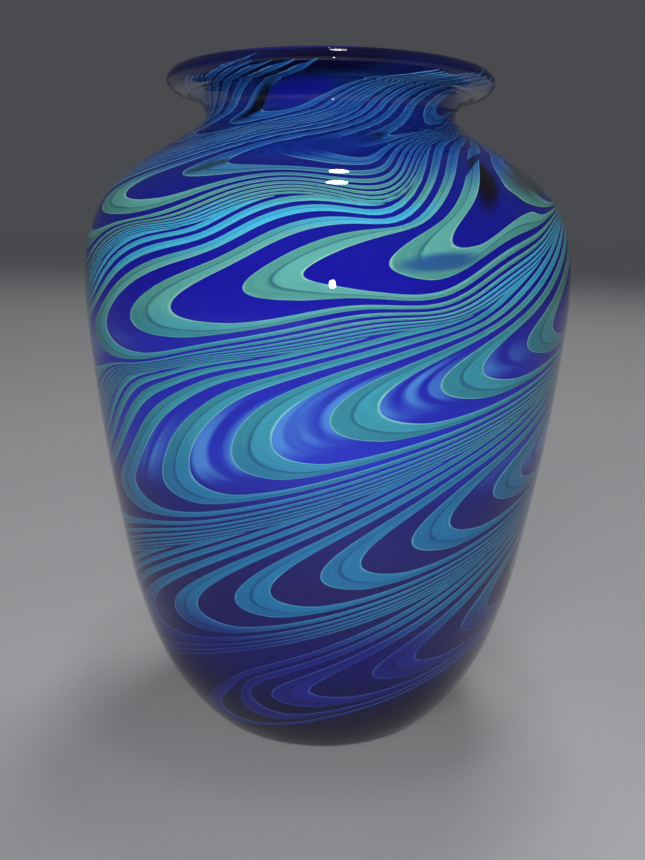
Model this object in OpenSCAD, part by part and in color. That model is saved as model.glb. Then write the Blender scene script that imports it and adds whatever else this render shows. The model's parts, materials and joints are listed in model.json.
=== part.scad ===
// Hand blown vase: a cobalt bubble wound with a turquoise trail, combed, twisted and cased in clear glass.
// Millimetres, +Z up, origin at the middle of the foot on the surface that the vase stands on.
// The trail is drawn on the outline by two coordinates: the angle around the axis, and the arc length
// along the outline from the foot edge to the lip.

/* [Vessel] */
// Overall height, from the foot to the top of the lip
height = 252; // [244:1:264]
// Largest outside radius, under the shoulder
belly_r = 93.4; // [90:0.2:98]
// Outside radius of the foot
foot_r = 50; // [46:0.5:53]
// Smallest outside radius, at the neck
neck_r = 47.4; // [46:0.2:50]
// Outside radius of the lip
lip_r = 61.6; // [60:0.2:63]
// Radius of the fire-polished lip edge
lip_edge = 4; // [3.6:0.1:4.4]

/* [Glass layers] */
// Thickness of the whole wall
wall = 6; // [5.4:0.1:7]
// Thickness of the clear casing
casing = 1.2; // [1:0.1:1.4]
// Depth of the layer that the trail lies in, between the core and the casing
trail_bed = 1.2; // [1.1:0.1:1.4]
// Thickness of the trail
trail_thick = 0.4; // [0.3:0.05:0.5]
// Thickness of the floor at its middle
floor_thick = 12; // [10:0.5:16]
// Radius of the hollow that is ground into the base
pontil_r = 34; // [28:1:38]
// Depth of that hollow
pontil_depth = 3; // [2:0.5:5]

/* [Trail] */
// Number of turns of the wound trail
turns = 21; // [18:1:21]
// Distance along the wall from one turn to the next
pitch = 12.2; // [12.1:0.05:12.3]
// Width of the trail along the wall, before the strokes draw it out
trail_width = 5.2; // [4:0.1:6]
// Arc length at which the first turn starts
first_turn = 11.2; // [10.6:0.2:11.8]

/* [Combing] */
// Turn of the vase for each millimetre of wall, in degrees, by which the strokes are twisted
twist = 1.8; // [1.78:0.01:1.82]
// Angle of the first trough
first_trough = -57; // [-60:1:-54]
// Share of the space between two strokes that lies before the lowest point of a trough
trough_share = 0.69; // [0.68:0.01:0.7]
// How far a stroke draws the trail up at its crest
stroke_reach = 71; // [69:1:72]
// How far the hot glass is pulled out of its even pattern: 0 leaves the pattern even
pull = 1; // [0:0.1:1]

/* [Hidden] */
function trail_name(k) = str("trail_", k < 10 ? "0" : "", k);

$fn = 180;

// --- Outline: knots from the foot edge to the widest point of the lip, as [radius, height].
KNOTS = [
    [foot_r, 0],
    [0.61 * belly_r, 0.032 * height],
    [0.717 * belly_r, 0.095 * height],
    [0.824 * belly_r, 0.206 * height],
    [0.894 * belly_r, 0.337 * height],
    [0.948 * belly_r, 0.468 * height],
    [0.985 * belly_r, 0.595 * height],
    [belly_r, 0.683 * height],
    [0.974 * belly_r, 0.77 * height],
    [0.903 * belly_r, 0.824 * height],
    [0.771 * belly_r, 0.867 * height],
    [0.642 * belly_r, 0.898 * height],
    [neck_r + 3.2, 0.922 * height],
    [neck_r, 0.938 * height],
    [neck_r + 2.7, 0.96 * height],
    [lip_r - 1.7, 0.975 * height],
    [lip_r, height - lip_edge]
];
SPAN_STEPS = 8;   // points that the curve takes between two knots
LIP_STEPS = 8;    // points in a quarter of the lip edge
LEDGE = 1;        // height at which the casing starts, on a ledge of the core
BLEND = 6;        // arc length over which the trail bed opens from the foot and from the lip

// Tangent at knot i: the slope of the parabola through the knot and its two neighbours.
function gap(a, b) = norm(b - a);
function tangent(k, i) =
    let (n = len(k) - 1)
    i == 0 ? (k[1] - k[0]) / gap(k[0], k[1])
    : i == n ? [0, 1]
    : let (h0 = gap(k[i - 1], k[i]), h1 = gap(k[i], k[i + 1]))
      ((k[i] - k[i - 1]) / h0 * h1 + (k[i + 1] - k[i]) / h1 * h0) / (h0 + h1);
function hermite(a, b, ta, tb, t) =
    let (h = gap(a, b))
    (2 * t ^ 3 - 3 * t ^ 2 + 1) * a + (t ^ 3 - 2 * t ^ 2 + t) * h * ta
    + (3 * t ^ 2 - 2 * t ^ 3) * b + (t ^ 3 - t ^ 2) * h * tb;
function curve(k) = [
    for (i = [0:len(k) - 2])
        for (j = [0:SPAN_STEPS - 1])
            hermite(k[i], k[i + 1], tangent(k, i), tangent(k, i + 1), j / SPAN_STEPS),
    k[len(k) - 1]
];
function lip_point(r, a) = [lip_r - lip_edge + r * cos(a), height - lip_edge + r * sin(a)];

BODY = curve(KNOTS);
OUTER = concat(BODY, [for (i = [1:LIP_STEPS]) lip_point(lip_edge, 90 * i / LIP_STEPS)]);
LAST = len(OUTER) - 1;

function direction(p, i) = let (d = p[min(i + 1, len(p) - 1)] - p[max(i - 1, 0)]) d / norm(d);
OUTWARD = [for (i = [0:LAST]) let (d = direction(OUTER, i)) [d[1], -d[0]]];
ARC = [for (i = 0, s = 0; i <= LAST; s = s + (i < LAST ? gap(OUTER[i], OUTER[i + 1]) : 0), i = i + 1) s];
ARC_LENGTH = ARC[LAST];
R_AT = [for (i = [0:LAST]) [ARC[i], OUTER[i][0]]];
Z_AT = [for (i = [0:LAST]) [ARC[i], OUTER[i][1]]];
NR_AT = [for (i = [0:LAST]) [ARC[i], OUTWARD[i][0]]];
NZ_AT = [for (i = [0:LAST]) [ARC[i], OUTWARD[i][1]]];

function inset(i, depth) = OUTER[i] - depth * OUTWARD[i];
// How far the trail bed is open at arc length s: shut at the foot and at the lip.
function smooth(t) = let (x = min(1, max(0, t))) x * x * (3 - 2 * x);
function open_bed(s) = smooth((s - 2) / BLEND) * smooth((ARC_LENGTH - 2 - s) / BLEND);

FIRST = [for (i = [0:LAST]) if (OUTER[i][1] > LEDGE) i][0];   // first point above the ledge
LEDGE_OUT = [lookup(LEDGE, [for (i = [0:12]) [OUTER[i][1], OUTER[i][0]]]), LEDGE];

CASING_IN = concat(
    [LEDGE_OUT - [casing, 0]],
    [for (i = [FIRST:LAST]) inset(i, casing)]
);
CORE_OUT = concat(
    [LEDGE_OUT - [casing, 0]],
    [for (i = [FIRST:LAST]) inset(i, casing + trail_bed * open_bed(ARC[i]))]
);

// --- Inside of the vessel, from the lip down to the middle of the floor.
INSIDE_TOP = 0.935 * height;      // height of the outline at which the inside starts to follow it
INSIDE_BOTTOM = 0.13 * height;    // and at which it turns into the floor
FLOOR_CORNER = 22;                // how far the round corner of the floor reaches in
FLARE_R = neck_r - wall + 4.4;    // inside radius where the mouth starts to flare
THROAT_R = neck_r - wall + 0.8;
MOUTH = [
    [FLARE_R, height - 2.1 * lip_edge],
    [THROAT_R, 0.95 * height]
];
INSIDE_FROM = [for (i = [0:LAST]) if (OUTER[i][1] > INSIDE_TOP) i][0];
INSIDE_TO = [for (i = [0:LAST]) if (OUTER[i][1] > INSIDE_BOTTOM) i][0];
WALL_IN = [for (i = [INSIDE_FROM:-2:INSIDE_TO]) inset(i, wall)];
FLOOR_TURN = [
    for (a = [15:15:90])
        let (e = WALL_IN[len(WALL_IN) - 1])
        [e[0] - FLOOR_CORNER * (1 - cos(a)), e[1] - (e[1] - floor_thick) * sin(a)]
];

PONTIL_SPHERE = (pontil_r ^ 2 + pontil_depth ^ 2) / (2 * pontil_depth);
PONTIL = [
    for (r = [0:pontil_r / 6:pontil_r])
        [r, sqrt(PONTIL_SPHERE ^ 2 - r ^ 2) - PONTIL_SPHERE + pontil_depth]
];

CORE = concat(
    PONTIL,
    [[foot_r - 1, 0], [OUTER[1][0] - 0.2, OUTER[1][1] * 0.5], LEDGE_OUT],
    CORE_OUT,
    [for (i = [0:2 * LIP_STEPS]) lip_point(lip_edge, 90 + 90 * i / LIP_STEPS / 2)],
    MOUTH,
    WALL_IN,
    FLOOR_TURN,
    [[0, floor_thick]]
);

// --- Combed trail. U is the angle around the vase before the twist, and falls as the trail is wound on.
// v is U measured from a trough, which is where a stroke has left the trail lowest.
STROKES = 4;                 // comb strokes around the vase
SPACING = 360 / STROKES;
BEFORE = trough_share * SPACING;
AFTER = SPACING - BEFORE;
STEEPNESS = 2.07;            // how sharply a trough closes towards its two crests
CREST_WIDTH = 1;             // width that is left of the trail at a crest
DEG_MM = 1.5;                // length of one degree around the body
LEG_STEPS = 13;              // points along each leg of a trough
NECK_STEPS = 24;             // the same where the legs climb over the shoulder and the neck
NECK_ROOM = 1.6;             // a trough is on the neck if it has less room than this share of the reach
LEG_SPREAD = 1.4;            // how much closer the points of a leg lie towards its trough
LIP_END = ARC_LENGTH - 11;   // the strokes run out here, short of the lip edge
SHORTEST_LEG = 4;            // a trough with less room than this is left out
TOUCH = 0.001;               // a section as near to a crest as this is at the crest
BROKEN = 59;                 // the trough that has one leg broken
BREAK_FROM = -43.5;          // v at which that leg ends
BREAK_TO = -46;              // and at which its stub starts
NECK_TWIST = 0.35;           // what is added to the twist on the neck
NECK_FROM = 235;             // arc length at which that starts
NECK_EASE = 10;
SHALLOW = casing + (trail_bed - trail_thick) / 2;
DEEP = SHALLOW + trail_thick;

function cosh(x) = (exp(x) + exp(-x)) / 2;
function sinh(x) = (exp(x) - exp(-x)) / 2;
function acosh(x) = ln(x + sqrt(x * x - 1));
function side(v) = v < 0 ? BEFORE : AFTER;
REACH_UNIT = stroke_reach / (cosh(STEEPNESS) - 1);

// How far a stroke draws the trail up at v, its slope there, and the v at which it reaches h.
function drawn(v) = REACH_UNIT * (cosh(STEEPNESS * v / side(v)) - 1);
function slope(v) = REACH_UNIT * STEEPNESS / side(v) * sinh(STEEPNESS * v / side(v));
function v_at(h, way) = way * side(way) / STEEPNESS * acosh(1 + h / REACH_UNIT);

// Arc length of the wound trail at U, before the strokes.
function wound(u) = first_turn + pitch * (first_trough - u) / 360;

// The angle around the vase, after the twist.
function twisted(u, s) =
    let (past = s - NECK_FROM)
    u + twist * s + NECK_TWIST * (sqrt(past ^ 2 + NECK_EASE ^ 2) + past) / 2;

// --- Where the glass was pulled out of its even pattern while it was hot. Each row is a point of a
// trough's lower edge, by trough and v, and the angle and arc length at which it lies.
TIP = -19.8;
CREST = -62.1;
PULLS = [
    [8, TIP, -16, 38], [12, TIP, 14, 51], [16, TIP, 41, 64],
    [17, TIP, -43, 69], [21, TIP, -22, 80], [25, TIP, -0.7, 92], [29, TIP, 20, 104], [33, TIP, 42, 118],
    [30, TIP, -60, 113], [34, TIP, -39, 122], [38, TIP, -20, 134], [42, TIP, 0.5, 147], [46, TIP, 23, 158],
    [50, TIP, 46, 170],
    [18, CREST, -48, 155.5], [22, CREST, -27, 163.5], [26, CREST, -5, 169], [30, CREST, 17, 175],
    [34, CREST, 39, 186.5], [38, CREST, 61, 206],
    [47, TIP, -63, 168], [47, 0, -50, 160], [47, 10, -27, 166],
    [51, TIP, -45, 175], [51, 0, -29, 171.5], [51, 10, -5, 177], [51, -40, -21, 195.5], [51, -56, 18, 216],
    [55, TIP, -16.5, 187.5], [55, 0, -5, 184.8], [55, 8, 10, 184.6], [55, 13, 28, 187], [55, 16, 43, 198.5],
    [55, -40, 1, 203.5], [55, -50, 21.5, 211],
    [59, TIP, 12, 195.5], [59, 0, 20, 190.5], [59, 8.5, 35, 202], [59, 12, 47, 204.7], [59, 15, 61, 211],
    [59, -34, 20.5, 205], [59, -40, 26, 214.5], [59, -43, 30, 223], [59, -46, 38, 237], [59, -50, 45, 243.5],
    [63, TIP, 46, 225], [63, 0, 50, 218], [63, -30, 50, 233], [63, -40, 59, 239], [67, TIP, 67, 232],
    [35, CREST, -45, 202.5], [39, CREST, -23, 209.5], [43, CREST, -1, 216.5], [47, CREST, 20.5, 223.5],
    [51, CREST, 42.5, 250.5], [55, CREST, 64.5, 260],
    [64, TIP, -68, 213], [64, 0, -48, 209], [68, TIP, -37, 226], [68, 0, -24, 225.5],
    [72, TIP, -13, 238], [76, TIP, 6.7, 243.4], [76, 0, 12, 242],
    [81, TIP, -42, 260.5], [81, 0, -34, 258], [81, -40, -10, 281]
];
PULL_ANGLE = 20;     // how far around, in degrees, a pull moves the glass with it
PULL_ARC = 14;       // and how far along the wall
PULL_EASE = 0.1;     // how much a pull gives way to its neighbours
SOLVE_STEPS = 200;

// The same angle, from -180 to 180.
function turned(angle) = angle - 360 * floor((angle + 180) / 360);
function nearness(a, b) =
    exp(-(turned(a[0] - b[0]) / PULL_ANGLE) ^ 2 - ((a[1] - b[1]) / PULL_ARC) ^ 2);

// Conjugate gradients: x for which m * x is what is asked for, from a first rest r and direction p.
function solve(m, x, r, p, n) =
    n == 0 || r * r < 1e-9 ? x
    : let (mp = m * p, step = (r * r) / (p * mp), rest = r - step * mp)
      solve(m, x + step * p, rest, rest + (rest * rest) / (r * r) * p, n - 1);
function shares(m, b) = solve(m, 0 * b, b, b, SOLVE_STEPS);

EVEN = [
    for (p = PULLS)
        let (u = first_trough - SPACING * p[0] + p[1], s = wound(u) + drawn(p[1]))
        [turned(twisted(u, s)), s]
];
NEAR = [
    for (i = [0:len(EVEN) - 1])
        [for (k = [0:len(EVEN) - 1]) nearness(EVEN[i], EVEN[k]) + (i == k ? PULL_EASE : 0)]
];
TURN_SHARES = shares(NEAR, [for (i = [0:len(PULLS) - 1]) turned(PULLS[i][2] - EVEN[i][0])]);
RISE_SHARES = shares(NEAR, [for (i = [0:len(PULLS) - 1]) PULLS[i][3] - EVEN[i][1]]);

function pulled(place) =
    pull == 0 ? place
    : let (near = [for (e = EVEN) nearness(place, e)])
      place + pull * [near * TURN_SHARES, near * RISE_SHARES];

// A place on the trail: its angle and arc length, by U and v, at a distance across the trail.
function place(u, v, across) = let (s = wound(u) + across + drawn(v)) pulled([twisted(u, s), s]);

// That place in space, sunk by a depth below the outer surface.
function on_wall(place, depth) =
    let (a = place[0], s = place[1], r = lookup(s, R_AT) - depth * lookup(s, NR_AT))
    [r * sin(a), -r * cos(a), lookup(s, Z_AT) - depth * lookup(s, NZ_AT)];

// The strokes stretch the trail thin towards a crest.
function width_at(v) = trail_width - (trail_width - CREST_WIDTH) * (drawn(v) / stroke_reach) ^ 4;

// The four corners of the trail at v in trough j; at a crest its two legs meet on one line.
function section(j, v) =
    let (
        u = first_trough - j * SPACING + v,
        w = width_at(v),
        m = slope(v) / DEG_MM,
        shift = abs(v) > side(v) - TOUCH ? 0 : -w / DEG_MM * m / (1 + m * m)
    )
    let (lower = place(u, v, 0), upper = place(u + shift, v + shift, w))
    [on_wall(lower, DEEP), on_wall(lower, SHALLOW), on_wall(upper, SHALLOW), on_wall(upper, DEEP)];

// How far up the legs of trough j go: to the crests, or to where the strokes run out below the lip.
function room(j) = LIP_END - trail_width - wound(first_trough - j * SPACING);
function leg(j) = min(stroke_reach, room(j));
function steps(j) = room(j) < NECK_ROOM * stroke_reach ? NECK_STEPS : LEG_STEPS;
function rises(j) = [for (i = [0:steps(j)]) leg(j) * (i / steps(j)) ^ LEG_SPREAD];
// The v of each section of a trough, in the order in which the trail is wound: down the after side, up the
// before side. One leg was broken while the glass was hot: it ends at BREAK_FROM, and its stub starts at
// BREAK_TO.
function stations(j) =
    let (h = rises(j), n = len(h) - 1)
    concat([for (i = [n:-1:1]) v_at(h[i], 1)], [0], [for (i = [1:n]) v_at(h[i], -1)]);
function to_break(j) =
    j != BROKEN ? stations(j) : concat([for (v = stations(j)) if (v > BREAK_FROM) v], [BREAK_FROM]);
function from_break(j) = concat([BREAK_TO], [for (v = stations(j)) if (v < BREAK_TO) v]);

function flatten(list) = [for (a = list) each a];

// A solid ribbon through four-cornered sections. Its two broad faces are split along the same diagonals, so
// that they stay apart where the ribbon bends.
module ribbon(sections) {
    n = len(sections);
    polyhedron(
        flatten(sections),
        concat(
            [[0, 1, 2], [0, 2, 3]],
            flatten([
                for (i = [0:n - 2])
                    for (k = [0:3])
                        let (a = 4 * i + k, b = 4 * i + (k + 1) % 4)
                        k < 3 ? [[a, a + 4, b + 4], [a, b + 4, b]] : [[a, a + 4, b], [b, a + 4, b + 4]]
            ]),
            [[4 * n - 4, 4 * n - 2, 4 * n - 3], [4 * n - 4, 4 * n - 1, 4 * n - 2]]
        )
    );
}

// One turn of the trail. Where the strokes pull it over the lip, its troughs are separate pieces.
module trail_turn(k) {
    troughs = [for (j = [(k - 1) * STROKES:k * STROKES - 1]) if (room(j) > SHORTEST_LEG) j];
    whole = [for (j = troughs) if (leg(j) >= stroke_reach) j];
    color(k < 5 ? "royalblue" : k < 10 ? "deepskyblue" : "mediumturquoise") {
        if (len(whole) > 0)
            ribbon([
                for (j = whole)
                    for (v = to_break(j))
                        if (j == whole[0] || v < AFTER - TOUCH) section(j, v)
            ]);
        for (j = whole)
            if (j == BROKEN) ribbon([for (v = from_break(j)) section(j, v)]);
        for (j = troughs)
            if (leg(j) < stroke_reach) ribbon([for (v = stations(j)) section(j, v)]);
    }
}

module cobalt_core() {
    color("midnightblue") rotate_extrude() polygon(CORE);
}

module clear_casing() {
    color("lightskyblue", 0.3)
        rotate_extrude()
            polygon(concat(
                [LEDGE_OUT],
                [for (i = [FIRST:LAST]) OUTER[i]],
                [for (i = [len(CASING_IN) - 1:-1:0]) CASING_IN[i]]
            ));
}

cobalt_core();
clear_casing();
for (k = [1:turns])
    trail_turn(k);
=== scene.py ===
"""Looks for the hand blown vase: a combed and twisted trail of turquoise glass, cased in clear glass."""
import json
import math

import bpy
import numpy as np
from mathutils import Matrix, Vector


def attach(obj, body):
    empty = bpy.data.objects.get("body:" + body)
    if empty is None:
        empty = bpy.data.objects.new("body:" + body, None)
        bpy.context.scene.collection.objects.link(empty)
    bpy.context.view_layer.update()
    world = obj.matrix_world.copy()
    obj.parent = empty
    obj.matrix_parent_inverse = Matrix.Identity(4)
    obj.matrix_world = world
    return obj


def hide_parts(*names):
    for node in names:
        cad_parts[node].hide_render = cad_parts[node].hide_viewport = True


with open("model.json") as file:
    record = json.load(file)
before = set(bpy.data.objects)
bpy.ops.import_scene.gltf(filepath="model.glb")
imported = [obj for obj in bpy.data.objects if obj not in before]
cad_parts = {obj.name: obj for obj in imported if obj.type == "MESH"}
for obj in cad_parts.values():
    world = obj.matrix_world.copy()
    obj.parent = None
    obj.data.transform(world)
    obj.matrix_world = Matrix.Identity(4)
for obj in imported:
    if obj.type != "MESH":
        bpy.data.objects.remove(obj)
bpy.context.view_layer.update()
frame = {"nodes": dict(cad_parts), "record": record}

MM = 0.001

# --- Camera: distance from the vase's axis and height in metres, the turns of its view in degrees, and its
# focal length in millimetres.
CAMERA_DISTANCE = 0.3543
CAMERA_HEIGHT = 0.1965
CAMERA_PITCH = 13.02
CAMERA_ROLL = 0.90
CAMERA_YAW = 0.18
CAMERA_LENS = 36.8

# --- The trail as part.scad winds, combs and twists it, in millimetres and degrees. Only CREST_WIDTH is not
# as it is there: here the trail widens towards a crest, so that the crests fill with colour.
FIRST_TURN = 11.2
PITCH = 12.2
TRAIL_WIDTH = 5.2
STROKES = 4
TWIST = 1.8
NECK_TWIST = 0.35
NECK_FROM = 235
NECK_EASE = 10
FIRST_TROUGH = -57
TROUGH_SHARE = 0.69
STROKE_REACH = 71
STEEPNESS = 2.07
DEG_MM = 1.5
CREST_WIDTH = 7.0
CASING = 1.2
TRAIL_BED = 1.2
BLEND = 6

SPACING = 360 / STROKES
BEFORE = TROUGH_SHARE * SPACING
AFTER = SPACING - BEFORE
REACH_UNIT = STROKE_REACH / (math.cosh(STEEPNESS) - 1)

# The trough whose before leg broke while it was hot, the v at which the leg ends and at which its stub
# starts, and the v around which its other leg is thick, with how much thicker and over how many degrees.
BROKEN = 59
BREAK_FROM = -43.5
BREAK_TO = -46
THICK_AT = 9.5
THICKER = 4
THICK_SPREAD = 3

# Where the glass was pulled out of its even pattern while it was hot. Each row is a point of a trough's
# lower edge, by trough and v, and the angle and arc length at which it lies.
TIP = -19.8
CREST = -62.1
PULLS = [
    (8, TIP, -16, 38), (12, TIP, 14, 51), (16, TIP, 41, 64),
    (17, TIP, -43, 69), (21, TIP, -22, 80), (25, TIP, -0.7, 92), (29, TIP, 20, 104), (33, TIP, 42, 118),
    (30, TIP, -60, 113), (34, TIP, -39, 122), (38, TIP, -20, 134), (42, TIP, 0.5, 147), (46, TIP, 23, 158),
    (50, TIP, 46, 170),
    (18, CREST, -48, 155.5), (22, CREST, -27, 163.5), (26, CREST, -5, 169), (30, CREST, 17, 175),
    (34, CREST, 39, 186.5), (38, CREST, 61, 206),
    (47, TIP, -63, 168), (47, 0, -50, 160), (47, 10, -27, 166),
    (51, TIP, -45, 175), (51, 0, -29, 171.5), (51, 10, -5, 177), (51, -40, -21, 195.5), (51, -56, 18, 216),
    (55, TIP, -16.5, 187.5), (55, 0, -5, 184.8), (55, 8, 10, 184.6), (55, 13, 28, 187), (55, 16, 43, 198.5),
    (55, -40, 1, 203.5), (55, -50, 21.5, 211),
    (59, TIP, 12, 195.5), (59, 0, 20, 190.5), (59, 8.5, 35, 202), (59, 12, 47, 204.7), (59, 15, 61, 211),
    (59, -34, 20.5, 205), (59, -40, 26, 214.5), (59, -43, 30, 223), (59, -46, 38, 237), (59, -50, 45, 243.5),
    (63, TIP, 46, 225), (63, 0, 50, 218), (63, -30, 50, 233), (63, -40, 59, 239), (67, TIP, 67, 232),
    (35, CREST, -45, 202.5), (39, CREST, -23, 209.5), (43, CREST, -1, 216.5), (47, CREST, 20.5, 223.5),
    (51, CREST, 42.5, 250.5), (55, CREST, 64.5, 260),
    (64, TIP, -68, 213), (64, 0, -48, 209), (68, TIP, -37, 226), (68, 0, -24, 225.5),
    (72, TIP, -13, 238), (76, TIP, 6.7, 243.4), (76, 0, 12, 242),
    (81, TIP, -42, 260.5), (81, 0, -34, 258), (81, -40, -10, 281),
]
PULL_ANGLE = 20      # how far around, in degrees, a pull moves the glass with it
PULL_ARC = 14        # and how far along the wall
PULL_EASE = 0.1      # how much a pull gives way to its neighbours


# --- The vase's outline, read from the frame.
def read(collection, name, width):
    """One property of every item of a mesh collection, as rows of numbers."""
    values = np.zeros(len(collection) * width, np.float32)
    collection.foreach_get(name, values)
    return values.reshape(-1, width).astype(float)


class Turned:
    """The faces of a turned CAD node: their vertices as [radius, height] in millimetres."""

    def __init__(self, node):
        mesh = frame["nodes"][node].data
        place = read(mesh.vertices, "co", 3) / MM
        centre = read(mesh.polygons, "center", 3) / MM
        normal = read(mesh.polygons, "normal", 3)
        radial = centre[:, :2] / np.linalg.norm(centre[:, :2], axis=1)[:, None]
        self.mesh = mesh
        self.outward = (normal[:, :2] * radial).sum(1)
        self.face_height = centre[:, 2]
        self.points = np.column_stack([np.hypot(place[:, 0], place[:, 1]), place[:, 2]])

    def outline(self, faces):
        """The points of those faces, without repeats, from the lowest up."""
        corners = np.unique([v for i in np.flatnonzero(faces) for v in self.mesh.polygons[i].vertices])
        return self.thinned(self.points[corners])

    @staticmethod
    def thinned(points):
        """The points from the lowest up, and each more than a hair from the one below it."""
        ordered = np.unique(points[:, ::-1].round(2), axis=0)[:, ::-1]
        steps = np.linalg.norm(np.diff(ordered, axis=0), axis=1)
        return ordered[np.append(True, steps > HAIR)]


HAIR = 0.05          # millimetres within which two points are one
ON_GROUND = 0.01     # height below which a point is on the ground
OUTWARD = 0.01       # a face looks outwards if its normal leans out by more than this
INWARD = 0.02        # and inwards if it leans out by less than this
FOOT_EDGE = 1        # how far the edge of the foot reaches past the flat that it stands on

casing = Turned("clear_casing")
core = Turned("cobalt_core")
FOOT_FLAT = core.points[core.points[:, 1] < ON_GROUND, 0].max()
FOOT_RADIUS = FOOT_FLAT + FOOT_EDGE


class Outline:
    """The outer outline by arc length, with its outward normals."""

    def __init__(self, points):
        steps = np.linalg.norm(np.diff(points, axis=0), axis=1)
        start = math.hypot(points[0, 0] - FOOT_RADIUS, points[0, 1])
        self.arc = start + np.append(0, np.cumsum(steps))
        self.points = points
        ahead = np.gradient(points, self.arc, axis=0)
        ahead /= np.linalg.norm(ahead, axis=1)[:, None]
        self.normals = np.column_stack([ahead[:, 1], -ahead[:, 0]])
        self.first = self.arc[0]
        self.last = self.arc[-1]

    def at(self, arc, depth):
        """Radius and height at an arc length, sunk by a depth below the surface."""
        r, z = (np.interp(arc, self.arc, self.points[:, k]) for k in (0, 1))
        nr, nz = (np.interp(arc, self.arc, self.normals[:, k]) for k in (0, 1))
        size = np.hypot(nr, nz)
        return r - depth * nr / size, z - depth * nz / size

    def on_wall(self, angle, arc, depth):
        """Points in metres at angles and arc lengths, sunk by a depth."""
        r, z = self.at(arc, depth)
        turn = np.radians(angle)
        return np.stack([r * np.sin(turn), -r * np.cos(turn), z + 0 * turn], -1) * MM


wall = Outline(casing.outline(casing.outward > OUTWARD))


# --- The comb pattern. U is the angle before the twist; v is U measured from a trough.
def side(v):
    return np.where(v < 0, BEFORE, AFTER)


def drawn(v):
    """How far a stroke has drawn the trail up at v."""
    return REACH_UNIT * (np.cosh(STEEPNESS * v / side(v)) - 1)


def slope(v):
    return REACH_UNIT * STEEPNESS / side(v) * np.sinh(STEEPNESS * v / side(v))


def wound(u):
    """Arc length of the wound trail at U, before the strokes."""
    return FIRST_TURN + PITCH * (FIRST_TROUGH - u) / 360


def twisted(u, arc):
    """The angle around the vase, after the twist."""
    past = arc - NECK_FROM
    return u + TWIST * arc + NECK_TWIST * (np.sqrt(past ** 2 + NECK_EASE ** 2) + past) / 2


def turned(angle):
    """The same angle, from -180 to 180."""
    return (angle + 180) % 360 - 180


def nearness(angle, arc, at_angle, at_arc):
    return np.exp(-(turned(angle - at_angle) / PULL_ANGLE) ** 2 - ((arc - at_arc) / PULL_ARC) ** 2)


def pull_shares():
    """Where the pulled points were, and how much each one moves the glass around it."""
    j, v, angle, arc = np.array(PULLS, float).T
    u = FIRST_TROUGH - SPACING * j + v
    was_arc = wound(u) + drawn(v)
    was_angle = turned(twisted(u, was_arc))
    near = nearness(was_angle[:, None], was_arc[:, None], was_angle, was_arc)
    pull = np.column_stack([turned(angle - was_angle), arc - was_arc])
    return was_angle, was_arc, np.linalg.solve(near + PULL_EASE * np.eye(len(PULLS)), pull)


PULL_FROM_ANGLE, PULL_FROM_ARC, PULL_SHARES = pull_shares()


def pulled(angle, arc):
    """The point of the wall that a point of the even pattern was pulled to."""
    angle, arc = np.broadcast_arrays(np.asarray(angle, float), np.asarray(arc, float))
    moved = [angle.copy(), arc.copy()]
    for at_angle, at_arc, shares in zip(PULL_FROM_ANGLE, PULL_FROM_ARC, PULL_SHARES):
        near = nearness(angle, arc, at_angle, at_arc)
        for k in (0, 1):
            moved[k] += near * shares[k]
    return moved


# --- Meshes.
def new_piece(name, points, faces, materials, node, sharp=None):
    """A mesh that rides the vase and replaces a CAD node. Its edges are sharp from the angle sharp."""
    sizes = np.array([len(f) for f in faces])
    mesh = bpy.data.meshes.new(name)
    mesh.vertices.add(len(points))
    mesh.vertices.foreach_set("co", points.astype(np.float32).ravel())
    mesh.loops.add(int(sizes.sum()))
    mesh.loops.foreach_set("vertex_index", np.concatenate(faces).astype(np.int32))
    mesh.polygons.add(len(faces))
    mesh.polygons.foreach_set("loop_start", np.append(0, np.cumsum(sizes)[:-1]).astype(np.int32))
    mesh.polygons.foreach_set("loop_total", sizes.astype(np.int32))
    mesh.update(calc_edges=True)
    mesh.validate()
    mesh.shade_smooth()
    if sharp:
        mesh.set_sharp_from_angle(angle=math.radians(sharp))
    for material in materials:
        mesh.materials.append(material)
    piece = bpy.data.objects.new(name, mesh)
    bpy.context.scene.collection.objects.link(piece)
    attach(piece, "root")
    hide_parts(node)
    return piece


def give(piece, name, domain, values):
    """Adds an attribute of three numbers to a piece's points or corners."""
    attribute = piece.data.attributes.new(name, "FLOAT_VECTOR", domain)
    attribute.data.foreach_set("vector", values.astype(np.float32).ravel())


def set_materials(piece, second):
    """Gives a piece's second material to the faces marked True, and its first to the others."""
    piece.data.polygons.foreach_set("material_index", np.asarray(second).astype(np.int32))
    piece.data.update()


def rings(outline, turn):
    """An outline of [radius, height] in millimetres, turned: a ring of points in metres for each point."""
    radius, height = outline[:, 0, None], outline[:, 1, None]
    return np.stack([radius * np.sin(turn), -radius * np.cos(turn), height + 0 * turn], -1) * MM


def ring_faces(rows, columns, closed=False):
    """Quads between rings of points. closed joins the last ring to the first."""
    i, j = np.meshgrid(np.arange(rows if closed else rows - 1), np.arange(columns), indexing="ij")
    above = (i + 1) % rows
    beside = (j + 1) % columns
    corners = [i * columns + j, i * columns + beside, above * columns + beside, above * columns + j]
    return np.stack(corners, -1).reshape(-1, 4)


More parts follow.
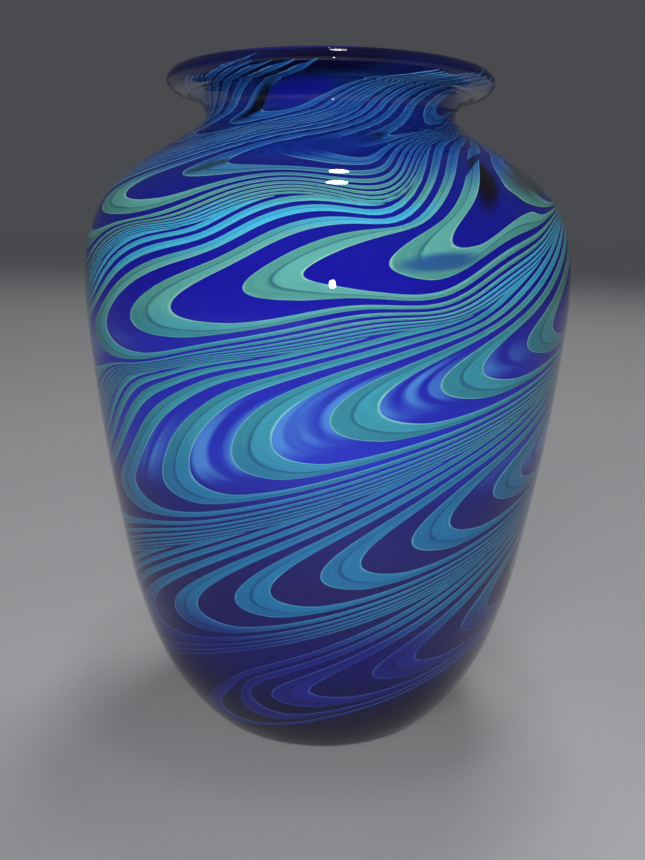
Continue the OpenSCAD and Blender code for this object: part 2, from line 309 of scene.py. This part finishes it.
# --- Materials.
class Nodes:
    """Short names for building a node tree."""

    def __init__(self, tree):
        self.tree = tree

    def add(self, kind, **settings):
        node = self.tree.nodes.new(kind)
        for name, value in settings.items():
            setattr(node, name, value)
        return node

    def put(self, source, target):
        if isinstance(source, bpy.types.NodeSocket):
            self.tree.links.new(source, target)
        else:
            target.default_value = source

    def math(self, operation, *inputs):
        node = self.add("ShaderNodeMath", operation=operation)
        for source, target in zip(inputs, node.inputs):
            self.put(source, target)
        return node.outputs[0]

    def product(self, first, *others):
        for other in others:
            first = self.math("MULTIPLY", first, other)
        return first

    def mix(self, share, a, b):
        node = self.add("ShaderNodeMix", data_type="RGBA")
        self.put(share, node.inputs["Factor"])
        self.put(a, node.inputs["A"])
        self.put(b, node.inputs["B"])
        return node.outputs["Result"]

    def scaled(self, colour, share):
        node = self.add("ShaderNodeVectorMath", operation="SCALE")
        self.put(colour, node.inputs[0])
        self.put(share, node.inputs["Scale"])
        return node.outputs[0]

    def parts(self, vector):
        node = self.add("ShaderNodeSeparateXYZ")
        self.put(vector, node.inputs[0])
        return node.outputs

    def attribute(self, name):
        return self.add("ShaderNodeAttribute", attribute_name=name).outputs["Vector"]

    def place(self):
        return self.add("ShaderNodeTexCoord").outputs["Object"]

    def vector(self, x, y, z):
        node = self.add("ShaderNodeCombineXYZ")
        for source, target in zip((x, y, z), node.inputs):
            self.put(source, target)
        return node.outputs[0]

    def noise(self, vector, scale, detail=3, roughness=0.5):
        node = self.add("ShaderNodeTexNoise")
        self.put(vector, node.inputs["Vector"])
        node.inputs["Scale"].default_value = scale
        node.inputs["Detail"].default_value = detail
        node.inputs["Roughness"].default_value = roughness
        return node.outputs["Fac"]

    def ramp(self, share, stops):
        node = self.add("ShaderNodeValToRGB")
        elements = node.color_ramp.elements
        while len(elements) < len(stops):
            elements.new(0.5)
        for element, (at, colour) in zip(elements, stops):
            element.position = at
            element.color = colour
        self.put(share, node.inputs[0])
        return node.outputs[0]

    def window(self, value, low, full):
        """0 at low, 1 at full, smooth between."""
        node = self.add("ShaderNodeMapRange", interpolation_type="SMOOTHSTEP")
        self.put(value, node.inputs["Value"])
        node.inputs["From Min"].default_value = low
        node.inputs["From Max"].default_value = full
        return node.outputs["Result"]

    def between(self, value, low, full, full_end, end):
        """1 from full to full_end, 0 outside low to end."""
        return self.product(self.window(value, low, full), self.window(value, end, full_end))


def srgb(*screen):
    """A colour as a screen shows it, 0 to 255, as linear light."""
    shares = [c / 255 for c in screen]
    return (*(c / 12.92 if c <= 0.04045 else ((c + 0.055) / 1.055) ** 2.4 for c in shares), 1)


def start_material(name, roughness, **settings):
    """A Principled material, with the settings of its sockets given by name."""
    material = bpy.data.materials.new(name)
    material.use_nodes = True
    material.node_tree.nodes.clear()
    nodes = Nodes(material.node_tree)
    output = nodes.add("ShaderNodeOutputMaterial")
    shader = nodes.add("ShaderNodeBsdfPrincipled")
    nodes.put(shader.outputs[0], output.inputs[0])
    shader.inputs["Roughness"].default_value = roughness
    for socket, value in settings.items():
        shader.inputs[socket.replace("_", " ")].default_value = value
    return material, nodes, shader


# The jacks scored the glass around the neck in fine rings, between these heights.
SCORED_FROM = 0.222
SCORED_FULL = 0.230
SCORES_PER_METRE = 700
SCORE_DEPTH = 0.0002
SCORE_STARTS = 0.58       # values of the noise from which the glass is scored, and scored to full depth
SCORE_IS_FULL = 0.72


def clear_surface():
    """Clear glass where it meets the air."""
    material, nodes, shader = start_material(
        "clear_glass_surface", 0, Base_Color=(0.97, 0.985, 1, 1), Transmission_Weight=1)
    height = nodes.parts(nodes.place())[2]
    noise = nodes.noise(nodes.vector(0.0, 0.0, height), SCORES_PER_METRE, 1, 0.5)
    score = nodes.window(noise, SCORE_STARTS, SCORE_IS_FULL)
    bump = nodes.add("ShaderNodeBump")
    bump.inputs["Distance"].default_value = SCORE_DEPTH
    nodes.put(nodes.product(nodes.window(height, SCORED_FROM, SCORED_FULL), score), bump.inputs["Height"])
    nodes.put(bump.outputs["Normal"], shader.inputs["Normal"])
    return material


def clear_join():
    """Where the casing is fused to the glass under it: nothing shows."""
    material, nodes, shader = start_material("clear_glass_join", 0)
    output = shader.outputs[0].links[0].to_node
    nodes.put(nodes.add("ShaderNodeBsdfTransparent").outputs[0], output.inputs[0])
    nodes.tree.nodes.remove(shader)
    return material


# Patches of another colour, where the glass was dragged or ran together: the middle as an angle and an arc
# length, the half sizes, how far the patch rises for each degree, and the colour.
TRAIL_PATCHES = [
    (-30, 229.0, 6, 1.8, 0.62, srgb(34, 66, 80)),
    (12, 246.0, 6, 2.4, 0.68, srgb(14, 18, 56)),
    (-31, 265.5, 9, 3.0, 0.72, srgb(8, 9, 24)),
    (-3, 240.5, 17, 5.5, 0.22, srgb(20, 42, 128)),
    (68, 229.0, 19, 8.5, 0.30, srgb(54, 60, 58)),
    (22, 195.5, 8, 2.6, 0.15, srgb(38, 80, 126)),
]
GROUND_PATCHES = [
    (-3, 240.5, 17, 5.5, 0.22, srgb(20, 42, 128)),
    (68, 229.0, 19, 8.5, 0.30, srgb(54, 60, 58)),
    (39, 225.0, 5, 9.0, 1.60, srgb(12, 9, 22)),
    (-12, 270.0, 13, 4.0, 0.15, srgb(18, 18, 130)),
    (-4, 283.0, 24, 7.0, 0.20, srgb(9, 7, 40)),
]
PATCH_EDGE = 1.9          # square of the distance from a patch's middle, in half sizes, at which it ends
PATCH_FULL = 0.2          # and within which nothing else shows


def patched(nodes, colour, arc, patches):
    """The colour, with patches laid over it."""
    x, y, _ = nodes.parts(nodes.place())
    angle = nodes.math("DEGREES", nodes.math("ARCTAN2", x, nodes.math("MULTIPLY", y, -1)))
    for at_angle, at_arc, half_angle, half_arc, rise, patch in patches:
        across = nodes.math("SUBTRACT", angle, at_angle)
        up = nodes.math("SUBTRACT", nodes.math("MULTIPLY_ADD", across, -rise, arc), at_arc)
        across = nodes.math("DIVIDE", across, half_angle)
        up = nodes.math("DIVIDE", up, half_arc)
        far = nodes.math("MULTIPLY_ADD", across, across, nodes.math("MULTIPLY", up, up))
        colour = nodes.mix(nodes.window(far, PATCH_EDGE, PATCH_FULL), colour, patch)
    return colour


# Colours seen across the trail: at its outer edge, below and above the fine line along its middle, of that
# line, and at its inner edge.
ROYAL = [(66, 96, 170), (24, 25, 112), (14, 14, 80), (26, 28, 120), (58, 86, 164)]
SKY = [(84, 154, 180), (26, 98, 142), (18, 66, 114), (30, 106, 150), (80, 148, 178)]
TURQUOISE = [(112, 178, 168), (44, 120, 132), (30, 84, 112), (50, 134, 148), (128, 188, 176)]
SEA = [(128, 182, 158), (72, 134, 126), (40, 92, 104), (84, 150, 142), (140, 192, 170)]
BRIGHT = [(110, 185, 200), (56, 150, 182), (34, 104, 150), (62, 160, 190), (110, 185, 200)]
NECK = [(100, 158, 200), (30, 80, 150), (12, 24, 92), (34, 90, 160), (104, 162, 204)]

# Where across the trail each of the five colours shows, as a share of its width and the colour's number.
ACROSS_STOPS = [(0.0, 0), (0.05, 1), (0.40, 1), (0.47, 2), (0.54, 3), (0.94, 3), (1.0, 4)]

# The colours that follow each other up the vase, with the arc lengths between which each takes over.
RISING = [(ROYAL, 0, 0), (SKY, 58, 80), (TURQUOISE, 112, 150), (SEA, 168, 184), (NECK, 214, 236)]

# The bright band around the shoulder: the arc lengths between which it comes and goes, and how far drawn up
# the trail has to be, as a share of the reach.
BAND_ARCS = (176, 190, 210, 218)
BAND_DRAWN = (0.35, 0.6)
WOBBLE = 0.12             # how far the colours stray across the trail, as a share of its width


def across_trail(nodes, across, colours):
    """The colour at a share of the trail's width."""
    return nodes.ramp(across, [(at, srgb(*colours[k])) for at, k in ACROSS_STOPS])


def trail_glass(name, kinds):
    """Trail glass. kinds are the rows of RISING that it passes through."""
    material, nodes, shader = start_material(name, 0.6, Specular_IOR_Level=0.0)
    across, draw, arc = nodes.parts(nodes.attribute("trail"))
    fine = nodes.noise(nodes.attribute("flow"), 1.0, 4, 0.6)
    wobbled = nodes.math("MULTIPLY_ADD", nodes.math("SUBTRACT", fine, 0.5), WOBBLE, across)
    colour = across_trail(nodes, wobbled, kinds[0][0])
    for colours, low, full in kinds[1:]:
        colour = nodes.mix(nodes.window(arc, low, full), colour, across_trail(nodes, wobbled, colours))
    band = nodes.product(nodes.between(arc, *BAND_ARCS), nodes.window(draw, *BAND_DRAWN))
    colour = nodes.mix(band, colour, across_trail(nodes, wobbled, BRIGHT))
    colour = patched(nodes, colour, arc, TRAIL_PATCHES)
    tint = nodes.math("MULTIPLY_ADD", fine, 0.5, 0.75)
    nodes.put(nodes.scaled(colour, tint), shader.inputs["Base Color"])
    return material


# The cobalt's colour by arc length, darker towards the foot, with painted shade at the lip's top,
# and the milky glass in it: the arc lengths between which that comes and goes, how far before a trough, in
# degrees, it lies, and how far up the stroke, in millimetres, it reaches.
GROUND_AND_LIP_SHADE = [
    (0, (8, 6, 24)), (30, (9, 8, 56)), (50, (12, 10, 88)), (84, (26, 20, 86)), (114, (22, 20, 104)),
    (132, (24, 36, 164)), (165, (26, 26, 150)), (192, (20, 16, 136)), (228, (16, 26, 112)),
    # The last stop is painted shade: the cobalt is darkened over the lip's top.
    (270, (18, 34, 110)), (291, (10, 8, 44)),
]
MILKY = srgb(64, 116, 182)
MILKY_ARCS = (116, 130, 158, 172)
MILKY_BEFORE = (-2, -16)
MILKY_REACH = (26, 10)
MILKY_STREAKS = (0.3, 0.62)
STREAKS_PER_MM = 0.45
STREAK_LENGTH = 0.03      # change along a streak for each degree, against 1 for each millimetre across it
STREAK_STRAY = 16         # how many degrees the streaks shift the milky glass's edge


def cobalt_ground():
    """The cobalt glass under the trail, with milky streaks that follow the strokes, and painted shade at the
    lip.

    Each point's v and how far it was drawn up are worked out from U, as drawn() does it.
    """
    material, nodes, shader = start_material("cobalt_ground", 0.6, Specular_IOR_Level=0.0)
    u, even_arc, arc = nodes.parts(nodes.attribute("comb"))
    from_crest = nodes.math("FLOORED_MODULO", nodes.math("ADD", u, BEFORE - FIRST_TROUGH), SPACING)
    v = nodes.math("SUBTRACT", from_crest, BEFORE)
    before = nodes.math("LESS_THAN", v, 0)
    rate = nodes.math("MULTIPLY_ADD", before, STEEPNESS / BEFORE - STEEPNESS / AFTER, STEEPNESS / AFTER)
    climb = nodes.math("COSH", nodes.math("MULTIPLY", v, rate))
    reach = nodes.math("MULTIPLY_ADD", climb, REACH_UNIT, -REACH_UNIT)
    lane = nodes.math("SUBTRACT", even_arc, reach)
    flow = nodes.vector(lane, nodes.math("MULTIPLY", v, STREAK_LENGTH), 0.0)
    streak = nodes.noise(flow, STREAKS_PER_MM, 2, 0.4)
    stops = [(at / wall.last, srgb(*colour)) for at, colour in GROUND_AND_LIP_SHADE]
    ground = nodes.ramp(nodes.math("DIVIDE", arc, wall.last), stops)
    strayed = nodes.math("MULTIPLY_ADD", nodes.math("SUBTRACT", streak, 0.5), STREAK_STRAY, v)
    share = nodes.product(
        nodes.between(arc, *MILKY_ARCS), nodes.window(strayed, *MILKY_BEFORE),
        nodes.window(reach, *MILKY_REACH), nodes.window(streak, *MILKY_STREAKS))
    colour = patched(nodes, nodes.mix(share, ground, MILKY), arc, GROUND_PATCHES)
    tint = nodes.math("MULTIPLY_ADD", streak, 0.3, 0.85)
    nodes.put(nodes.scaled(colour, tint), shader.inputs["Base Color"])
    return material


def cobalt_polished():
    """The cobalt glass where it meets the air, inside the vase and under its foot."""
    material, nodes, shader = start_material("cobalt_polished", 0.04)
    cloud = nodes.noise(nodes.place(), 30)
    colour = nodes.ramp(cloud, [(0.3, srgb(12, 10, 60)), (0.7, srgb(20, 18, 110))])
    nodes.put(colour, shader.inputs["Base Color"])
    return material


# --- Camera, floor and lights.
def add_camera():
    pitch, roll, yaw = (math.radians(a) for a in (CAMERA_PITCH, CAMERA_ROLL, CAMERA_YAW))
    right = Vector((math.cos(yaw), math.sin(yaw), 0))
    ahead = Vector((-math.sin(yaw) * math.cos(pitch), math.cos(yaw) * math.cos(pitch), -math.sin(pitch)))
    up = right.cross(ahead)
    rolled_right = right * math.cos(roll) + up * math.sin(roll)
    rolled_up = up * math.cos(roll) - right * math.sin(roll)
    data = bpy.data.cameras.new("camera")
    data.lens = CAMERA_LENS
    camera = bpy.data.objects.new("camera", data)
    axes = Matrix((rolled_right, rolled_up, -ahead)).transposed().to_4x4()
    camera.matrix_world = Matrix.Translation((0, -CAMERA_DISTANCE, CAMERA_HEIGHT)) @ axes
    bpy.context.scene.collection.objects.link(camera)
    bpy.context.scene.camera = camera


# Name, place and diameter in metres, power in watts, and whether the glass mirrors it. The flash sits beside
# the lens. The two small ones are ceiling lamps, and the soft ones light what those leave dark.
LIGHTS = [
    ("flash", (0.011, -CAMERA_DISTANCE - 0.01, CAMERA_HEIGHT - 0.006), 0.015, 0.4, True),
    ("front_soft", (-0.15, -1.2, 0.7), 0.9, 8.5, False),
    ("ceiling_front", (0.045, -0.155, 1.3), 0.135, 1.0, True),
    ("ceiling_back", (0.045, 0.147, 1.3), 0.1, 0.6, True),
    ("back_soft", (0.3, 0.9, 1.8), 0.8, 14, False),
]
LIT = Vector((0, 0, 0.12))     # the middle of the vase, which every light faces
SKY_COLOUR = (0.19, 0.2, 0.22, 1)
SKY_STRENGTH = 0.35


def add_light(name, place, size, watts, glossy):
    """A round light, as a row of LIGHTS gives it."""
    data = bpy.data.lights.new(name, "AREA")
    data.shape = "DISK"
    data.size = size
    data.energy = watts
    light = bpy.data.objects.new(name, data)
    light.location = place
    light.rotation_euler = (LIT - Vector(place)).to_track_quat("-Z", "Y").to_euler()
    light.visible_glossy = glossy
    bpy.context.scene.collection.objects.link(light)


# The floor reaches far, and is painted paler far out, where only the sky lights it: painted light that keeps
# its horizon soft.
FLOOR_HALF = 12
NEAR_FLOOR = 0.8
FAR_FLOOR = 3
FLOOR_COLOUR = (0.46, 0.46, 0.475, 1)
FAR_PAINTED_LIGHT = (0.95, 0.95, 0.95, 1)


def add_floor():
    corners = [(x * FLOOR_HALF, y * FLOOR_HALF, 0) for x, y in ((-1, -1), (1, -1), (1, 1), (-1, 1))]
    mesh = bpy.data.meshes.new("floor")
    mesh.from_pydata(corners, [], [(0, 1, 2, 3)])
    floor = bpy.data.objects.new("floor", mesh)
    bpy.context.scene.collection.objects.link(floor)
    material, nodes, shader = start_material("pale_floor", 0.8)
    length = nodes.add("ShaderNodeVectorMath", operation="LENGTH")
    nodes.put(nodes.place(), length.inputs[0])
    # Painted light: the floor's colour grows paler with distance, standing in for the light that falls off
    # there.
    far = nodes.window(length.outputs["Value"], NEAR_FLOOR, FAR_FLOOR)
    nodes.put(nodes.mix(far, FLOOR_COLOUR, FAR_PAINTED_LIGHT), shader.inputs["Base Color"])
    mesh.materials.append(material)


def light_scene():
    for light in LIGHTS:
        add_light(*light)
    world = bpy.data.worlds.new("studio")
    bpy.context.scene.world = world
    world.use_nodes = True
    background = world.node_tree.nodes["Background"]
    background.inputs["Color"].default_value = SKY_COLOUR
    background.inputs["Strength"].default_value = SKY_STRENGTH
    bpy.context.scene.view_settings.view_transform = "Standard"


# --- Pieces.
COLUMNS = 320             # points around the core
CORE_ROWS = 210           # and rings of them up its outside
CORE_START = 0.3          # arc length from the ledge to the first ring
FOOT_TURN = 0.35          # height of the ring where the foot turns up
CASING_COLUMNS = 240      # points around the casing
BODY_STEP = 1.8           # arc length between the casing's rings, on the body and over the rippled neck
NECK_STEP = 0.5
INNER_STEP = 3.0          # and on its inside
UNDER_TRAIL = 0.66        # how far down the trail bed the cobalt's surface lies, as a share of the bed
SHUT = 2                  # arc length from each end of the outline over which the trail bed is shut

# Ripples that the tools left in the clear glass: the arc lengths at which they start and are full, their
# lengths and their depths.
RIPPLE_FROM = 230
RIPPLE_FULL = 248
RIPPLES = [(6.7, 0.06), (4.1, 0.06)]


def smooth(t):
    t = np.clip(t, 0, 1)
    return t * t * (3 - 2 * t)


def open_bed(arc):
    """How far the trail bed is open: shut at the foot and at the lip."""
    return smooth((arc - SHUT) / BLEND) * smooth((wall.last - SHUT - arc) / BLEND)


def rippled(arc):
    """How far the clear glass is dented at an arc length."""
    strength = smooth((arc - RIPPLE_FROM) / (RIPPLE_FULL - RIPPLE_FROM)) * smooth((wall.last - arc) / BLEND)
    return strength * sum(depth * (1 + np.sin(2 * np.pi * arc / length)) for length, depth in RIPPLES)


def make_casing():
    body = np.arange(wall.first, RIPPLE_FROM, BODY_STEP)
    outer_arcs = np.concatenate([body, np.arange(RIPPLE_FROM, wall.last, NECK_STEP), [wall.last]])
    inner_arcs = np.append(np.arange(wall.last, wall.first, -INNER_STEP), wall.first)
    outside = np.stack(wall.at(outer_arcs, rippled(outer_arcs)), -1)
    inside = np.stack(wall.at(inner_arcs, CASING), -1)
    inside[-1] = [outside[0, 0] - CASING, outside[0, 1]]
    turn = np.radians(np.arange(CASING_COLUMNS) * 360 / CASING_COLUMNS)
    points = rings(np.concatenate([outside, inside]), turn).reshape(-1, 3)
    rows = len(outside) + len(inside)
    faces = ring_faces(rows, CASING_COLUMNS, closed=True)
    piece = new_piece("clear_casing_glass", points, list(faces), [clear_surface(), clear_join()],
                      "clear_casing")
    set_materials(piece, np.repeat(np.arange(rows) >= len(outside) - 1, CASING_COLUMNS))
    piece.visible_shadow = False


def column_steps():
    """Angles between the core's columns over one stroke: equal on each side of a trough."""
    per_stroke = COLUMNS // STROKES
    before = round(per_stroke * TROUGH_SHARE)
    after = per_stroke - before
    return np.append(np.full(before, BEFORE / before), np.full(after, AFTER / after))


def corners_of(grid):
    """The values of a grid of points at the four corners of each quad between its rows."""
    beside = np.roll(grid, -1, axis=1)
    return np.stack([grid[:-1], beside[:-1], beside[1:], grid[1:]], -1)


# The faces that look inwards are the inside from this height up. The points below the second height and
# within the radius are the hollow under the foot.
INSIDE_FROM = 4.5
HOLLOW_HEIGHT = 3.1
HOLLOW_RADIUS = 45


def make_core():
    arcs = np.linspace(wall.first + CORE_START, wall.last, CORE_ROWS)
    inner = core.outline((core.outward < INWARD) & (core.face_height > INSIDE_FROM))[::-1]
    low = core.points[(core.points[:, 1] < HOLLOW_HEIGHT) & (core.points[:, 0] < HOLLOW_RADIUS)]
    hollow = low[np.argsort(low[:, 0])]
    hollow = hollow[np.append(True, np.diff(hollow[:, 0]) > HAIR)]
    hollow[0, 0] = HAIR
    under = np.concatenate([hollow, [[FOOT_FLAT, 0], [FOOT_RADIUS, FOOT_TURN]]])

    strokes = [i * SPACING + np.append(0, np.cumsum(column_steps()))[:-1] for i in range(STROKES)]
    u = FIRST_TROUGH + AFTER - 360 + np.concatenate(strokes)
    even_u, even_arc = np.meshgrid(u, arcs)
    angle, arc = pulled(twisted(even_u, even_arc), even_arc)
    arc = np.clip(arc, wall.first, wall.last)
    outer = wall.on_wall(angle, arc, CASING + TRAIL_BED * UNDER_TRAIL * open_bed(arc))
    under_rings = rings(under, np.radians(twisted(u, arcs[0])))
    inner_rings = rings(inner, np.radians(twisted(u, arcs[-1])))
    points = np.concatenate([under_rings, outer, inner_rings]).reshape(-1, 3)

    rows = len(under) + len(arcs) + len(inner)
    faces = ring_faces(rows, COLUMNS)
    piece = new_piece("cobalt_core_glass", points, list(faces), [cobalt_ground(), cobalt_polished()],
                      "cobalt_core")
    row = np.arange(rows - 1)
    polished = (row < len(under)) | (row >= len(under) + len(arcs) - 1)
    set_materials(piece, np.repeat(polished, COLUMNS))

    # The comb's coordinates at each corner of each face: U, the arc length before the pulls, the real one.
    all_arcs = np.concatenate([np.full(len(under), arcs[0]), arcs, np.full(len(inner), arcs[-1])])
    real = np.concatenate([
        np.zeros((len(under), COLUMNS)), arc, np.full((len(inner), COLUMNS), arcs[-1])])
    next_u = np.append(u[1:], u[0] + 360)
    corner_u = np.broadcast_to(np.stack([u, next_u, next_u, u], -1), (rows - 1, COLUMNS, 4))
    corner_arc = corners_of(np.repeat(all_arcs[:, None], COLUMNS, 1))
    comb = np.stack([corner_u, corner_arc, corners_of(real)], -1)
    give(piece, "comb", "CORNER", comb.reshape(-1, 3))


# Points across the trail: share of its width, and depth as a share of the trail bed.
PROFILE = [
    (0, 0.72), (0, 0.36), (0.1, 0.34), (0.3, 0.33), (0.5, 0.33),
    (0.7, 0.33), (0.9, 0.34), (1, 0.36), (1, 0.72),
]
ACROSS, DEPTH = np.array(PROFILE).T
FINE_STEP = 0.9           # length of the trail between two sections where it turns
COARSE_STEP = 3.2         # and along its legs, from this far above the trough
COARSE_REACH = 20
FEWEST_SECTIONS = 8
SAMPLES = 4001            # values of v that the sections are spaced by
WITHIN = 1.0001           # a crest counts as reached within this rounding
LIP_MARGIN = 4            # the strokes run out this far from the lip
SHORTEST_REACH = 3        # a trough with less room than this is left out
END_MARGIN = 1            # the trail stays this far from both ends of the outline
MEETING = 12              # the legs of two troughs close up over this reach below a crest
SHARP = 50
SUNK = 0.02               # how far the trail's outer side lies below its place in the profile
GRAIN_ACROSS = 1.6        # grain of the trail's flow noise across it, and around the vase
GRAIN_AROUND = 5


def leg_angles(reach):
    """v from one end of a trough to the other, close together where it turns."""
    dense = np.linspace(-BEFORE, AFTER, SAMPLES)
    dense = dense[drawn(dense) <= reach * WITHIN]
    height = drawn(dense)
    along = np.hypot(np.diff(dense + TWIST * height) * DEG_MM, np.diff(height))
    middle = (height[1:] + height[:-1]) / 2
    step = FINE_STEP + (COARSE_STEP - FINE_STEP) * smooth(middle / COARSE_REACH)
    count = np.append(0, np.cumsum(along / step))
    n = max(FEWEST_SECTIONS, int(count[-1]))
    return np.interp(np.linspace(0, count[-1], n + 1), count, dense)


def width_at(j, v):
    """The trail's width, which the strokes change towards a crest."""
    width = TRAIL_WIDTH - (TRAIL_WIDTH - CREST_WIDTH) * drawn(v) / STROKE_REACH
    if j == BROKEN:
        width = width + THICKER * np.exp(-((v - THICK_AT) / THICK_SPREAD) ** 2)
    return width


def sections(j, v):
    """Sections of trough j, a row of points for each v, and their trail and flow coordinates."""
    u = FIRST_TROUGH - j * SPACING + v
    m = slope(v) / DEG_MM
    width = width_at(j, v)
    shift = -width / DEG_MM * m / (1 + m * m) * smooth((STROKE_REACH - drawn(v)) / MEETING)
    point_u = u[:, None] + shift[:, None] * ACROSS
    point_v = np.clip(v[:, None] + shift[:, None] * ACROSS, -BEFORE, AFTER)
    even_arc = wound(point_u) + ACROSS * width[:, None] + drawn(point_v)
    angle, arc = pulled(twisted(point_u, even_arc), even_arc)
    arc = np.clip(arc, wall.first + END_MARGIN, wall.last - END_MARGIN)
    points = wall.on_wall(angle, arc, CASING + TRAIL_BED * DEPTH * open_bed(arc) + SUNK)
    turn = np.radians(point_u)
    along = np.stack([np.cos(turn), np.sin(turn)], -1) * GRAIN_AROUND
    flow = np.concatenate([(even_arc - drawn(point_v))[..., None] * GRAIN_ACROSS, along], -1)
    trail = np.stack([ACROSS + 0 * point_u, drawn(point_v) / STROKE_REACH, arc], -1)
    return np.stack([points, trail, flow])


def trail_runs(k):
    """The unbroken lengths of turn k of the trail, each as its sections."""
    runs, joined = [], False
    for j in range((k - 1) * STROKES, k * STROKES):
        room = wall.last - LIP_MARGIN - TRAIL_WIDTH - wound(FIRST_TROUGH - j * SPACING)
        reach = min(STROKE_REACH, room)
        if reach < SHORTEST_REACH:
            continue
        v = leg_angles(reach)[::-1]
        whole = reach >= STROKE_REACH
        first = v if j != BROKEN else np.append(v[v > BREAK_FROM], BREAK_FROM)
        made = sections(j, first)
        if whole and joined:
            runs[-1] = np.concatenate([runs[-1], made[:, 1:]], axis=1)
        else:
            runs.append(made)
        if j == BROKEN:
            runs.append(sections(j, np.append(BREAK_TO, v[v < BREAK_TO])))
        joined = whole
    return runs


def make_trail(k, material):
    runs = trail_runs(k)
    width = len(PROFILE)
    faces, start = [], 0
    for run in runs:
        n = run.shape[1]
        faces.extend(ring_faces(n, width)[:, ::-1] + start)
        faces.append(np.arange(width) + start)
        faces.append(np.arange(width)[::-1] + start + (n - 1) * width)
        start += n * width
    points, trail, flow = (np.concatenate([run[part].reshape(-1, 3) for run in runs]) for part in range(3))
    node = f"trail_{k:02d}"
    piece = new_piece(node + "_glass", points, faces, [material], node, sharp=SHARP)
    give(piece, "trail", "POINT", trail)
    give(piece, "flow", "POINT", flow)


# --- The scene.
add_camera()
add_floor()
light_scene()
make_casing()
make_core()
MATERIALS = {
    "royal_trail_glass": trail_glass("royal_trail", RISING[:2]),
    "sky_trail_glass": trail_glass("sky_trail", RISING[:3]),
    "turquoise_trail_glass": trail_glass("turquoise_trail", RISING[1:]),
}
for subpart in frame["record"]["subparts"]:
    if subpart["node"].startswith("trail_"):
        slot_name = subpart["material_slot"]
        make_trail(int(subpart["node"][-2:]), MATERIALS[slot_name])
